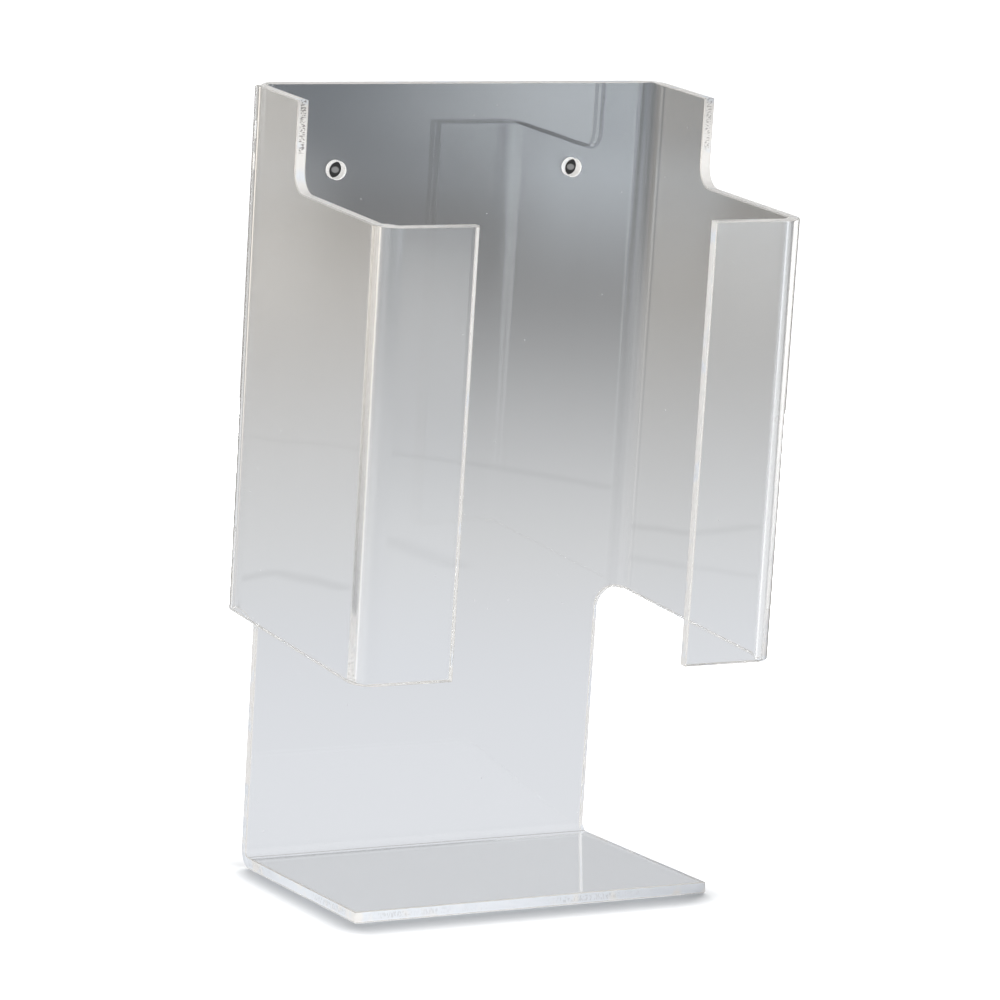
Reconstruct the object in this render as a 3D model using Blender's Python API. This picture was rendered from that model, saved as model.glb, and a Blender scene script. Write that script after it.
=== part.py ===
"""Holder for a box of laboratory wipes, folded from one sheet of clear acrylic.

The real holder is cut as a flat blank, drilled for two screws, softened along
straight lines and folded. Two wings turn forward from the back panel, a lip
turns inward from each wing, and a tongue below the wings turns forward into
the base that carries the box. The part is made in nearly the same order: the
blank's outline, its thickness, its eased edges, the fold lines and the folds.
The screw holes come last, as cuts through the finished back panel.

Metres, +Z up. The origin is on the bench, under the middle of the base, and
the open front faces -Y.
"""
import math

import bmesh
import bpy
from mathutils import Matrix, Vector

MM = 0.001

# Sheet
SHEET_THICKNESS = 3.2 * MM
SHEET_COLOUR = (0.86, 0.89, 0.91, 1.0)
ACRYLIC_IOR = 1.49
POLISH_ROUGHNESS = 0.05
EDGE_EASE = 0.25 * MM             # chamfer that scraping leaves on each arris

# Folds: angle turned and radius on the inside
WING_TURN = math.radians(90.0)    # back panel to wing
WING_FOLD_RADIUS = 3.2 * MM
LIP_TURN = math.radians(90.0)     # wing to lip
LIP_FOLD_RADIUS = 3.5 * MM
PANEL_LEAN = math.radians(5.0)    # back panel, forward over the base
BASE_FOLD_RADIUS = 2.0 * MM
FOLD_STRIPS = 12                  # flat strips in each fold
ON_THE_LINE = 0.001 * MM          # points this near a fold line count as on it
SHARP_ANGLE = math.radians(25.0)  # faces that meet more steeply are shaded apart

# Back panel; heights run up its rear face from the bench
HOLDER_WIDTH = 127.0 * MM         # over the wings' outer faces
PANEL_HEIGHT = 224.5 * MM

# Wings; depths run forward from the panel's rear face
WING_DEPTH = 91.5 * MM            # to the lips' front faces
WING_FOOT = 76.6 * MM             # height of the wings' bottom edge
SHOULDER_DROP = 24.7 * MM         # top edge down to the shoulder
CREST_DEPTH = 34.5 * MM           # depth of the wing above the shoulder
NOTCH_RADIUS = 6.0 * MM           # inside corner over the shoulder
LIP_WIDTH = 28.3 * MM             # from the wing's outer face

# Tongue and base
TONGUE_INSET = 9.7 * MM           # wing's outer face to the tongue's edge
TONGUE_RADIUS = 6.0 * MM          # inside corner under each wing
BASE_DEPTH = 79.0 * MM            # from the panel's rear plane to the front
CORNER_STEPS = 10                 # straight steps in a quarter circle

# Screw holes
HOLE_DIAMETER = 4.8 * MM
HOLE_SPACING = 73.2 * MM
HOLE_DROP = 24.4 * MM             # top edge down to the hole's centre
HOLE_SIDES = 48


class Fold:
    """One straight fold of the sheet, laid out along the sheet's middle."""

    def __init__(self, corner, turn, inside_radius):
        """corner is the distance, along the flat run before it, to where the outer faces meet."""
        self.turn = turn
        self.radius = inside_radius + SHEET_THICKNESS / 2
        self.setback = (inside_radius + SHEET_THICKNESS) * math.tan(turn / 2)
        self.start = corner - self.setback
        self.length = self.radius * turn
        self.end = self.start + self.length

    def beyond(self, distance):
        """Place on the flat sheet of a point at this folded distance past the corner."""
        return self.end + distance - self.setback

    def lines(self):
        """Places of the fold's parallel lines on the flat sheet."""
        return [self.start + self.length * strip / FOLD_STRIPS for strip in range(FOLD_STRIPS + 1)]


# The blank across, from the middle outwards, and down, from the top of the base fold
WING_FOLD = Fold(HOLDER_WIDTH / 2, WING_TURN, WING_FOLD_RADIUS)
LIP_FOLD = Fold(WING_FOLD.beyond(WING_DEPTH), LIP_TURN, LIP_FOLD_RADIUS)
BASE_FOLD = Fold(0.0, math.radians(90.0) + PANEL_LEAN, BASE_FOLD_RADIUS)
LIP_EDGE = LIP_FOLD.beyond(LIP_WIDTH)
CREST_EDGE = WING_FOLD.beyond(CREST_DEPTH)
TONGUE_EDGE = HOLDER_WIDTH / 2 - TONGUE_INSET
BASE_EDGE = -BASE_FOLD.beyond(BASE_DEPTH)
SHOULDER_HEIGHT = PANEL_HEIGHT - SHOULDER_DROP


def clear_scene():
    """Remove the objects that the scene already holds."""
    for obj in list(bpy.data.objects):
        bpy.data.objects.remove(obj, do_unlink=True)


def acrylic():
    """Clear acrylic with polished faces."""
    material = bpy.data.materials.new("clear_acrylic")
    material.use_nodes = True
    shader = material.node_tree.nodes["Principled BSDF"]
    shader.inputs["Base Color"].default_value = SHEET_COLOUR
    shader.inputs["Roughness"].default_value = POLISH_ROUGHNESS
    shader.inputs["Metallic"].default_value = 0.0
    shader.inputs["IOR"].default_value = ACRYLIC_IOR
    shader.inputs["Transmission Weight"].default_value = 1.0
    material.diffuse_color = SHEET_COLOUR
    return material


def inside_corner(corner, radius, start_angle):
    """Points of a quarter circle that rounds an inside corner of the outline.

    The circle's centre lies diagonally off the corner, in the cut-away side.
    """
    middle = math.radians(start_angle - 45.0)
    reach = radius * math.sqrt(2.0)
    centre_x = corner[0] - reach * math.cos(middle)
    centre_y = corner[1] - reach * math.sin(middle)
    points = []
    for step in range(CORNER_STEPS + 1):
        angle = math.radians(start_angle - 90.0 * step / CORNER_STEPS)
        points.append((centre_x + radius * math.cos(angle),
                       centre_y + radius * math.sin(angle)))
    return points


def blank_outline():
    """The flat blank's outline, counter-clockwise from the base's right front corner."""
    right = [(TONGUE_EDGE, BASE_EDGE)]
    right += inside_corner((TONGUE_EDGE, WING_FOOT), TONGUE_RADIUS, 180.0)
    right += [(LIP_EDGE, WING_FOOT), (LIP_EDGE, SHOULDER_HEIGHT)]
    right += inside_corner((CREST_EDGE, SHOULDER_HEIGHT), NOTCH_RADIUS, 270.0)
    right += [(CREST_EDGE, PANEL_HEIGHT)]
    left = [(-x, y) for x, y in reversed(right)]
    return right + left


def cut_blank():
    """The sheet before folding: outline, thickness and eased edges."""
    blank = bmesh.new()
    half = SHEET_THICKNESS / 2
    corners = [blank.verts.new((x, y, -half)) for x, y in blank_outline()]
    rear = blank.faces.new(corners)
    raised = bmesh.ops.extrude_face_region(blank, geom=[rear])["geom"]
    lifted = [item for item in raised if isinstance(item, bmesh.types.BMVert)]
    bmesh.ops.translate(blank, verts=lifted, vec=(0.0, 0.0, SHEET_THICKNESS))
    bmesh.ops.recalc_face_normals(blank, faces=blank.faces)
    arrises = []
    for edge in blank.edges:
        if abs(edge.verts[0].co.z - edge.verts[1].co.z) < half:
            arrises.append(edge)
    bmesh.ops.bevel(blank, geom=arrises, offset=EDGE_EASE, segments=1,
                    profile=0.5, affect="EDGES", clamp_overlap=True)
    return blank


def score(blank, axis, position):
    """Split the blank's faces along one straight line across it."""
    bmesh.ops.bisect_plane(blank, geom=blank.verts[:] + blank.edges[:] + blank.faces[:],
                           dist=ON_THE_LINE, plane_co=axis * position, plane_no=axis)


def score_folds(blank):
    """Lay the parallel lines of every fold, on both sides of the middle."""
    across = Vector((1.0, 0.0, 0.0))
    upward = Vector((0.0, 1.0, 0.0))
    for place in WING_FOLD.lines() + LIP_FOLD.lines():
        score(blank, across, place)
        score(blank, across, -place)
    for place in BASE_FOLD.lines():
        score(blank, upward, -place)


def follow(distance, offset, folds):
    """Walk along the sheet's middle, turning at each fold.

    The result is the point's distance along the first direction and its
    distance towards the inside of the folds. offset is measured from the
    middle of the sheet's thickness, also towards the inside.
    """
    along = 0.0
    inward = 0.0
    heading = 0.0
    walked = 0.0
    for fold in folds:
        if distance <= fold.start:
            break
        along += (fold.start - walked) * math.cos(heading)
        inward += (fold.start - walked) * math.sin(heading)
        turned = min((distance - fold.start) / fold.radius, fold.turn)
        along += fold.radius * (math.sin(heading + turned) - math.sin(heading))
        inward += fold.radius * (math.cos(heading) - math.cos(heading + turned))
        heading += turned
        walked = fold.start + fold.radius * turned
    along += (distance - walked) * math.cos(heading) - offset * math.sin(heading)
    inward += (distance - walked) * math.sin(heading) + offset * math.cos(heading)
    return along, inward


def standing_frame():
    """Lean the folded holder about the line where panel and bench meet, then centre it."""
    return Matrix.Translation((0.0, BASE_DEPTH / 2, 0.0)) @ Matrix.Rotation(PANEL_LEAN, 4, "X")


def fold_point(point):
    """Where a point of the flat sheet lies on the folded one, with the panel upright."""
    if -point.y > BASE_FOLD.start:
        down, forward = follow(-point.y, point.z, [BASE_FOLD])
        sideways = abs(point.x)
    else:
        down = -point.y
        sideways, forward = follow(abs(point.x), point.z, [WING_FOLD, LIP_FOLD])
    return Vector((math.copysign(sideways, point.x), -forward - SHEET_THICKNESS / 2, -down))


def hole_cutter(name, side):
    """A drill through the back panel, square to its faces."""
    cutter_mesh = bpy.data.meshes.new(name)
    drill = bmesh.new()
    bmesh.ops.create_cone(drill, cap_ends=True, segments=HOLE_SIDES,
                          radius1=HOLE_DIAMETER / 2, radius2=HOLE_DIAMETER / 2,
                          depth=SHEET_THICKNESS * 3)
    drill.to_mesh(cutter_mesh)
    drill.free()
    cutter = bpy.data.objects.new(name, cutter_mesh)
    cutter.hide_render = True
    cutter.display_type = "WIRE"
    centre = Vector((side * HOLE_SPACING / 2, -SHEET_THICKNESS / 2, PANEL_HEIGHT - HOLE_DROP))
    cutter.matrix_world = (standing_frame() @ Matrix.Translation(centre)
                           @ Matrix.Rotation(math.radians(90.0), 4, "X"))
    bpy.context.scene.collection.objects.link(cutter)
    return cutter


def folded_sheet():
    """The whole holder: back panel, wings, lips, tongue and base in one sheet."""
    blank = cut_blank()
    score_folds(blank)
    stand = standing_frame()
    for vert in blank.verts:
        vert.co = stand @ fold_point(vert.co)
    bmesh.ops.recalc_face_normals(blank, faces=blank.faces)
    mesh = bpy.data.meshes.new("folded_sheet")
    blank.to_mesh(mesh)
    blank.free()
    mesh.materials.append(acrylic())
    mesh.shade_smooth()
    mesh.set_sharp_from_angle(angle=SHARP_ANGLE)
    sheet = bpy.data.objects.new("folded_sheet", mesh)
    bpy.context.scene.collection.objects.link(sheet)
    for label, side in (("left", -1.0), ("right", 1.0)):
        drilling = sheet.modifiers.new("screw_hole_" + label, "BOOLEAN")
        drilling.operation = "DIFFERENCE"
        drilling.solver = "EXACT"
        drilling.object = hole_cutter("drill_" + label, side)
    return sheet


clear_scene()
folded_sheet()
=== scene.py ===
# %% [markdown]
# # A wipe box holder, folded from one sheet of clear acrylic
#
# This lesson builds a clear holder for a box of laboratory wipes. The real
# one is a single flat blank with two screw holes, softened along straight
# lines and folded: wings, lips, and a foot. We make the blank flat, fold it
# with one Geometry Nodes rule used five times, and then spend most of our
# care on what clear plastic needs: thickness, worked edges and something
# to look at through it.

# %% Load the measured frame
import math

import bmesh
import bpy
from mathutils import Matrix, Quaternion, Vector


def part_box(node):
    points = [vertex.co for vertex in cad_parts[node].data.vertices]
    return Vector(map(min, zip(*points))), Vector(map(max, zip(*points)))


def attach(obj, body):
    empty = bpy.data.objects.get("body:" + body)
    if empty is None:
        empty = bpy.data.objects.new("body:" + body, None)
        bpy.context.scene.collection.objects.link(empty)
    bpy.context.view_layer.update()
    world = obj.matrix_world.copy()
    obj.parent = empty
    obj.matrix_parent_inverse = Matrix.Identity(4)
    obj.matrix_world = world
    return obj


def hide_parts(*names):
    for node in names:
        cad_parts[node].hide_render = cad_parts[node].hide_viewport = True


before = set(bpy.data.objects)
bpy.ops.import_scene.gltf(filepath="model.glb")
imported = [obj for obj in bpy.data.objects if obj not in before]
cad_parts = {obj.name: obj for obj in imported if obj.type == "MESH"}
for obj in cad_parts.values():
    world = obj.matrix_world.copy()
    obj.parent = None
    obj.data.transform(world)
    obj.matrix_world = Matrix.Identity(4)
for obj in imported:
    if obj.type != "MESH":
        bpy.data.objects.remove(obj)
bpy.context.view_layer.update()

SHEET_NODE = "folded_sheet"
SHEET_LOW, SHEET_HIGH = (Vector(corner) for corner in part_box(SHEET_NODE))
MM = 0.001
print("holder:", [round(v / MM, 1) for v in SHEET_HIGH - SHEET_LOW], "mm")

# %% [markdown]
# ## The camera
#
# The photograph was taken with a long lens, a little above the foot, from
# the holder's left. The camera here was fitted to edges of the real object,
# so it is written as a photographer would: which way it looks, how far away
# it stands, how much it tilts, and its lens. We set it first, because every
# later decision is judged through it.

# %% Camera
VIEW_AZIMUTH = -26.33        # degrees, negative to the holder's left
VIEW_ELEVATION = 8.0
VIEW_ROLL = 1.3
VIEW_DISTANCE = 1347.5 * MM
VIEW_TARGET = Vector((6.28, -0.5, 107.8)) * MM
LENS_MM = 173.4              # the two values that Blender takes in millimetres
SENSOR_MM = 36.0
PICTURE_SIZE = 1000          # pixels, both ways
FAR_CLIP = 100.0             # metres


def direction(azimuth, elevation):
    """Unit vector from the holder towards a viewer at these angles, in degrees."""
    a = math.radians(azimuth)
    e = math.radians(elevation)
    return Vector((math.sin(a) * math.cos(e), -math.cos(a) * math.cos(e), math.sin(e)))


def set_camera():
    """Stand the camera where the photographer stood."""
    lens = bpy.data.cameras.new("photo_camera")
    lens.lens = LENS_MM
    lens.sensor_width = SENSOR_MM
    lens.clip_end = FAR_CLIP
    camera = bpy.data.objects.new("photo_camera", lens)
    towards = direction(VIEW_AZIMUTH, VIEW_ELEVATION)
    camera.location = VIEW_TARGET + towards * VIEW_DISTANCE
    aim = (-towards).to_track_quat("-Z", "Y")
    camera.rotation_mode = "QUATERNION"
    camera.rotation_quaternion = aim @ Quaternion((0.0, 0.0, 1.0), math.radians(VIEW_ROLL))
    bpy.context.scene.collection.objects.link(camera)
    bpy.context.scene.camera = camera
    return camera


camera = set_camera()
print("camera:", [round(v, 3) for v in camera.location], "m, lens", LENS_MM, "mm")

# %% [markdown]
# ## The sizes of the blank
#
# A folded part is designed from its folded sizes, but it is cut flat. Each
# fold uses up a strip as long as the arc through the middle of the sheet.
# The class below keeps one fold's radius, its angle and the place of its
# strip, so that every size that lies beyond a fold can be laid out flat.

# %% Folded sizes
SHEET_THICKNESS = 3.2 * MM
HOLDER_WIDTH = 127.0 * MM
PANEL_HEIGHT = 224.5 * MM
PANEL_LEAN = math.radians(5.0)
WING_DEPTH = 91.5 * MM
WING_FOOT = 76.6 * MM
SHOULDER_DROP = 24.7 * MM
CREST_DEPTH = 34.5 * MM
NOTCH_RADIUS = 6.0 * MM
LIP_WIDTH = 28.3 * MM
TONGUE_INSET = 9.7 * MM
TONGUE_RADIUS = 6.0 * MM
BASE_DEPTH = 79.0 * MM
HOLE_DIAMETER = 4.8 * MM
HOLE_SPACING = 73.2 * MM
HOLE_DROP = 24.4 * MM
QUARTER_TURN = math.radians(90.0)


class Fold:
    """One straight fold, laid out along the middle of the sheet."""

    def __init__(self, corner, turn, inside_radius):
        """corner is the flat distance at which the two outer faces would meet."""
        self.turn = turn
        self.radius = inside_radius + SHEET_THICKNESS / 2
        self.setback = (inside_radius + SHEET_THICKNESS) * math.tan(turn / 2)
        self.start = corner - self.setback
        self.end = self.start + self.radius * turn

    def beyond(self, distance):
        """Flat place of a point at this folded distance past the corner."""
        return self.end + distance - self.setback


wing_fold = Fold(HOLDER_WIDTH / 2, QUARTER_TURN, 3.2 * MM)
lip_fold = Fold(wing_fold.beyond(WING_DEPTH), QUARTER_TURN, 3.5 * MM)
base_fold = Fold(0.0, QUARTER_TURN + PANEL_LEAN, 2.0 * MM)
LIP_EDGE = lip_fold.beyond(LIP_WIDTH)
CREST_EDGE = wing_fold.beyond(CREST_DEPTH)
TONGUE_EDGE = HOLDER_WIDTH / 2 - TONGUE_INSET
BASE_EDGE = -base_fold.beyond(BASE_DEPTH)
SHOULDER_HEIGHT = PANEL_HEIGHT - SHOULDER_DROP
HOLE_HEIGHT = PANEL_HEIGHT - HOLE_DROP
print("flat blank:", round(2 * LIP_EDGE / MM, 1), "x", round((PANEL_HEIGHT - BASE_EDGE) / MM, 1), "mm")

# %% [markdown]
# ## The cut outline
#
# The outline has only four rounded places: a cutter leaves a round inside
# corner at each notch over the shoulder, and one under each wing where the
# panel narrows to the tongue. The outer corners are left square, as they
# are on the real sheet. We draw the right half and mirror it, so the two
# sides cannot differ.

# %% Outline of the blank
ARC_STEPS = 16
HOLE_STEPS = 64


def inside_corner(corner_x, corner_y, radius, first_angle):
    """A quarter circle that rounds an inside corner, from first_angle clockwise."""
    diagonal = math.radians(first_angle - 45.0)
    centre_x = corner_x - radius * math.sqrt(2.0) * math.cos(diagonal)
    centre_y = corner_y - radius * math.sqrt(2.0) * math.sin(diagonal)
    arc = []
    for step in range(ARC_STEPS + 1):
        angle = math.radians(first_angle - 90.0 * step / ARC_STEPS)
        arc.append((centre_x + radius * math.cos(angle), centre_y + radius * math.sin(angle)))
    return arc


def blank_outline():
    """Counter-clockwise outline, from the base's right front corner."""
    right = [(TONGUE_EDGE, BASE_EDGE)]
    right += inside_corner(TONGUE_EDGE, WING_FOOT, TONGUE_RADIUS, 180.0)
    right += [(LIP_EDGE, WING_FOOT), (LIP_EDGE, SHOULDER_HEIGHT)]
    right += inside_corner(CREST_EDGE, SHOULDER_HEIGHT, NOTCH_RADIUS, 270.0)
    right += [(CREST_EDGE, PANEL_HEIGHT)]
    return right + [(-x, y) for x, y in reversed(right)]


def hole_outline(side):
    """A screw hole in the flat blank."""
    points = []
    for step in range(HOLE_STEPS):
        angle = 2.0 * math.pi * step / HOLE_STEPS
        points.append((side * HOLE_SPACING / 2 + HOLE_DIAMETER / 2 * math.cos(angle),
                       HOLE_HEIGHT + HOLE_DIAMETER / 2 * math.sin(angle)))
    return points


print("outline:", len(blank_outline()), "points, holes:", 2 * HOLE_STEPS)

# %% [markdown]
# ## The blank, with a worked edge
#
# Clear plastic shows its edges more than its faces, so the edge is modelled
# as it is made: a square wall with each arris eased to a tiny round. One
# fill makes the face with both holes in it, one extrusion gives the wall,
# and one bevel eases every arris, the holes' rims too. Each corner of the
# mesh keeps its flat place in an attribute called flat, and its worked
# edge in one called edge, which the folds and the material both read.

# %% Blank
EDGE_ROUND = 0.3 * MM
EDGE_SEGMENTS = 3
FOLD_STRIPS = 60
DRAWN_THICKNESS = SHEET_THICKNESS - 0.016 * MM   # keeps the round arrises inside the CAD box
LEVEL_ANGLE = 0.01           # radians between two faces that lie in one plane
ARRIS_ANGLE = 1.0            # radians, the least turn at an arris
FACING_UP = 0.5              # a normal's share along the thickness, on the sheet's two faces


def closed_loop(blank, points, height):
    """Join points in a closed loop of edges."""
    corners = [blank.verts.new((x, y, height)) for x, y in points]
    return [blank.edges.new((corners[i - 1], corners[i])) for i in range(len(corners))]


def cut_blank():
    """The flat sheet: face, wall and eased arrises."""
    blank = bmesh.new()
    edges = closed_loop(blank, blank_outline(), -DRAWN_THICKNESS / 2)
    for side in (-1.0, 1.0):
        edges += closed_loop(blank, hole_outline(side), -DRAWN_THICKNESS / 2)
    bmesh.ops.triangle_fill(blank, use_beauty=True, use_dissolve=False, edges=edges,
                            normal=(0.0, 0.0, 1.0))
    raised = bmesh.ops.extrude_face_region(blank, geom=blank.faces[:])["geom"]
    lifted = [item for item in raised if isinstance(item, bmesh.types.BMVert)]
    bmesh.ops.translate(blank, verts=lifted, vec=(0.0, 0.0, DRAWN_THICKNESS))
    bmesh.ops.recalc_face_normals(blank, faces=blank.faces)
    level = [e for e in blank.edges if len(e.link_faces) == 2 and e.calc_face_angle() < LEVEL_ANGLE]
    inner = [e for e in level if abs(e.link_faces[0].normal.z) > FACING_UP]
    bmesh.ops.dissolve_edges(blank, edges=inner, use_verts=False)
    return blank


def ease_arrises(blank):
    """Round every arris between a face of the sheet and its edge wall."""
    arrises = [e for e in blank.edges if e.calc_face_angle() > ARRIS_ANGLE
               and any(abs(f.normal.z) > FACING_UP for f in e.link_faces)]
    bmesh.ops.bevel(blank, geom=arrises, offset=EDGE_ROUND, segments=EDGE_SEGMENTS,
                    profile=0.5, affect="EDGES", clamp_overlap=False)


blank = cut_blank()
print("faces before easing:", len(blank.faces))
ease_arrises(blank)
print("faces after easing:", len(blank.faces))


# %% [markdown]
# ## Scoring the folds
#
# A flat polygon cannot bend, so the strips of each fold are cut across the
# blank first. The wings' and lips' lines run up the sheet on both sides,
# and the base's lines run across the tongue.

# %% Fold lines
SAME_PLACE = 1e-7            # metres


def score(blank, away, place):
    """Split every face along the line at this distance in the direction away."""
    everything = blank.verts[:] + blank.edges[:] + blank.faces[:]
    bmesh.ops.bisect_plane(blank, geom=everything, dist=SAME_PLACE,
                           plane_co=away * place, plane_no=away)


RIGHT = Vector((1.0, 0.0, 0.0))
LEFT = Vector((-1.0, 0.0, 0.0))
DOWN = Vector((0.0, -1.0, 0.0))
FOLD_ORDER = [("lip_left", lip_fold, LEFT), ("lip_right", lip_fold, RIGHT),
              ("wing_left", wing_fold, LEFT), ("wing_right", wing_fold, RIGHT),
              ("base", base_fold, DOWN)]
for name, fold, away in FOLD_ORDER:
    for strip in range(FOLD_STRIPS + 1):
        share = strip / FOLD_STRIPS
        score(blank, away, fold.start + (fold.end - fold.start) * share)
print("faces after scoring:", len(blank.faces))


# %% [markdown]
# ## Zones and the ends of the folds
#
# The material has to know a polished face from an eased arris and from a
# sawn wall, and a flat place from a bend, so each face keeps two numbers.
# Heat leaves a mark too: where a fold runs out at an edge, the soft sheet
# is squeezed on the inside and bulges a little, and at the top of the left
# wing its outside is drawn in. We move those few corners while the blank
# is still flat, which keeps the folding rule simple.

# %% Zones of the blank
FACE_ZONE = 0.0
RIM_ZONE = 0.4               # the arrises of the screw holes
ARRIS_ZONE = 0.6
WALL_ZONE = 1.0
FACE_LEVELNESS = 0.999
RIM_LEVELNESS = 0.5
WALL_LEVELNESS = 0.001


def zone_of(face):
    """Face, rim, arris or wall, by how far a polygon's normal points along the thickness."""
    levelness = abs(face.normal.z)
    if levelness > FACE_LEVELNESS:
        return FACE_ZONE
    middle = face.calc_center_median()
    from_hole = math.hypot(abs(middle.x) - HOLE_SPACING / 2, middle.y - HOLE_HEIGHT)
    if from_hole < HOLE_DIAMETER:
        return WALL_ZONE if levelness < RIM_LEVELNESS else RIM_ZONE
    return WALL_ZONE if levelness < WALL_LEVELNESS else ARRIS_ZONE


def in_a_fold(place):
    """1 for a point of the flat sheet that lies in a fold's strip, else 0."""
    across = abs(place.x)
    folded = (wing_fold.start < across < wing_fold.end or lip_fold.start < across < lip_fold.end
              or base_fold.start < -place.y < base_fold.end)
    return 1.0 if folded else 0.0


print("zones:", FACE_ZONE, RIM_ZONE, ARRIS_ZONE, WALL_ZONE)

# %% The ends of the folds
END_BULGE = 0.25 * MM
LEFT_TOP_DRAW = 1.1 * MM
END_ZONE = 0.5 * MM


def end_shift(share, depth, draw):
    """Outward shift of a fold's end, by the share of its strip and the depth in the sheet."""
    if not 0.0 < share < 1.0:
        return 0.0
    inside = 0.5 + depth / DRAWN_THICKNESS
    return math.sin(math.pi * share) ** 2 * (inside * END_BULGE - (1.0 - inside) * draw)


def shape_fold_ends(blank):
    """Bulge the inside of every fold at its ends, and draw in the outside at the left wing's top."""
    for vert in blank.verts:
        across, height, depth = vert.co
        for fold, top in ((wing_fold, PANEL_HEIGHT), (lip_fold, SHOULDER_HEIGHT)):
            share = (abs(across) - fold.start) / (fold.end - fold.start)
            if height > top - END_ZONE:
                drawn = fold is wing_fold and across < 0.0
                vert.co.y += end_shift(share, depth, LEFT_TOP_DRAW if drawn else 0.0)
            elif height < WING_FOOT + END_ZONE:
                vert.co.y -= end_shift(share, depth, 0.0)
        if abs(across) > TONGUE_EDGE - END_ZONE:
            share = (-height - base_fold.start) / (base_fold.end - base_fold.start)
            vert.co.x += end_shift(share, depth, 0.0) * math.copysign(1.0, across)


print("most bulge:", round(end_shift(0.5, DRAWN_THICKNESS / 2, 0.0) / MM, 2), "mm")


# %% The blank as a mesh
def to_sheet_mesh(blank):
    """Turn the blank into a mesh that remembers its flat state."""
    for face in blank.faces:
        face.smooth = True
    zones = [zone_of(face) for face in blank.faces]
    bends = [in_a_fold(face.calc_center_median()) for face in blank.faces]
    shape_fold_ends(blank)
    places = [vert.co.copy() for vert in blank.verts]
    mesh = bpy.data.meshes.new("sheet_blank")
    blank.to_mesh(mesh)
    blank.free()
    flat = mesh.attributes.new("flat", "FLOAT_VECTOR", "POINT")
    for index, place in enumerate(places):
        flat.data[index].vector = place
    for name, values in (("edge", zones), ("bend", bends)):
        kept = mesh.attributes.new(name, "FLOAT", "FACE")
        for index, value in enumerate(values):
            kept.data[index].value = value
    return mesh


sheet_mesh = to_sheet_mesh(blank)
print("wall faces:", sum(1 for zone in sheet_mesh.attributes["edge"].data if zone.value == WALL_ZONE))

# %% [markdown]
# ## Maths that reads like maths
#
# A node tree is easier to follow when its sums are written as sums. The
# Wire class below holds one output socket and answers to + - * / with more
# wires or with numbers on either side, adding the Math or Vector Math node
# for us. Every other node comes from a single method, node, which takes the
# type, the settings and what goes into its sockets.


# %% Wires
class Wire:
    """An output socket that can be used in a Python expression."""

    def __init__(self, graph, socket):
        self.graph = graph
        self.socket = socket
        self.is_vector = socket.type in {"VECTOR", "RGBA"}

    def __add__(self, other):
        return self.graph.maths("ADD", self, other)

    def __radd__(self, other):
        return self.graph.maths("ADD", other, self)

    def __sub__(self, other):
        return self.graph.maths("SUBTRACT", self, other)

    def __rsub__(self, other):
        return self.graph.maths("SUBTRACT", other, self)

    def __mul__(self, other):
        return self.graph.maths("MULTIPLY", self, other)

    def __rmul__(self, other):
        return self.graph.maths("MULTIPLY", other, self)

    def __truediv__(self, other):
        return self.graph.maths("DIVIDE", self, other)

    def __rtruediv__(self, other):
        return self.graph.maths("DIVIDE", other, self)


class Graph:
    """A node tree that nodes are added to by type, settings and inputs."""

    def __init__(self, tree):
        self.tree = tree

    def node(self, kind, settings=None, sockets=None):
        """Add a node, set it up, then feed its sockets by name or number."""
        made = self.tree.nodes.new(kind)
        for name, value in (settings or {}).items():
            setattr(made, name, value)
        for key, value in (sockets or {}).items():
            self.feed(made.inputs[key], value)
        return made

    def wire(self, kind, settings=None, sockets=None, output=0):
        """Add a node and return one of its outputs."""
        return Wire(self, self.node(kind, settings, sockets).outputs[output])

    def feed(self, socket, value):
        """Link a wire to a socket, or set the socket to a plain value."""
        if isinstance(value, Wire):
            self.tree.links.new(value.socket, socket)
        else:
            socket.default_value = value

    def maths(self, operation, *terms, **settings):
        """Add a Math node, or a Vector Math node where a term is a vector."""
        vector = any(isinstance(term, Wire) and term.is_vector for term in terms)
        kind = "ShaderNodeVectorMath" if vector else "ShaderNodeMath"
        made = self.node(kind, {"operation": operation, **settings})
        for socket, term in zip(made.inputs, terms):
            plain = not isinstance(term, (Wire, Vector, tuple))
            self.feed(socket, (term, term, term) if vector and plain else term)
        return Wire(self, made.outputs["Value"] if operation in {"DOT_PRODUCT", "LENGTH"}
                    else made.outputs[0])

    def smooth(self, value, low, high):
        """0 below low and 1 above high, with an even curve between."""
        return self.wire("ShaderNodeMapRange", {"interpolation_type": "SMOOTHSTEP"},
                         {"Value": value, "From Min": low, "From Max": high})

    def fade(self, value, low, high):
        """1 below low and 0 above high, with an even curve between."""
        return 1.0 - self.smooth(value, low, high)

    def blend(self, share, first, second):
        """One colour that turns into another as the share goes from 0 to 1."""
        return self.wire("ShaderNodeMix", {"data_type": "RGBA"}, {0: share, 6: first, 7: second}, output=2)

    def mix(self, share, first, second):
        """One shader that turns into another as the share goes from 0 to 1."""
        return self.wire("ShaderNodeMixShader", None, {0: share, 1: first, 2: second})

    def split(self, vector):
        """The three parts of a vector."""
        parts = self.node("ShaderNodeSeparateXYZ", None, {0: vector})
        return [Wire(self, part) for part in parts.outputs]


def empty_graph(owner):
    """Clear the node tree of a material or a world and wrap it."""
    owner.use_nodes = True
    owner.node_tree.nodes.clear()
    return Graph(owner.node_tree)


print("wires ready")


# %% [markdown]
# ## One rule folds the sheet
#
# Folding is the same rule on every line. A point's distance past the fold's
# start, walked along the flat sheet, says how far it has turned: not at all
# before the strip, in proportion inside it, and the whole angle after it.
# We pull the point back by the length of arc used up, then turn it round
# the fold's centre. The rule is a node group, and the sheet's tree uses it
# five times, lips first, because an outer fold must ride on an inner one.

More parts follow.
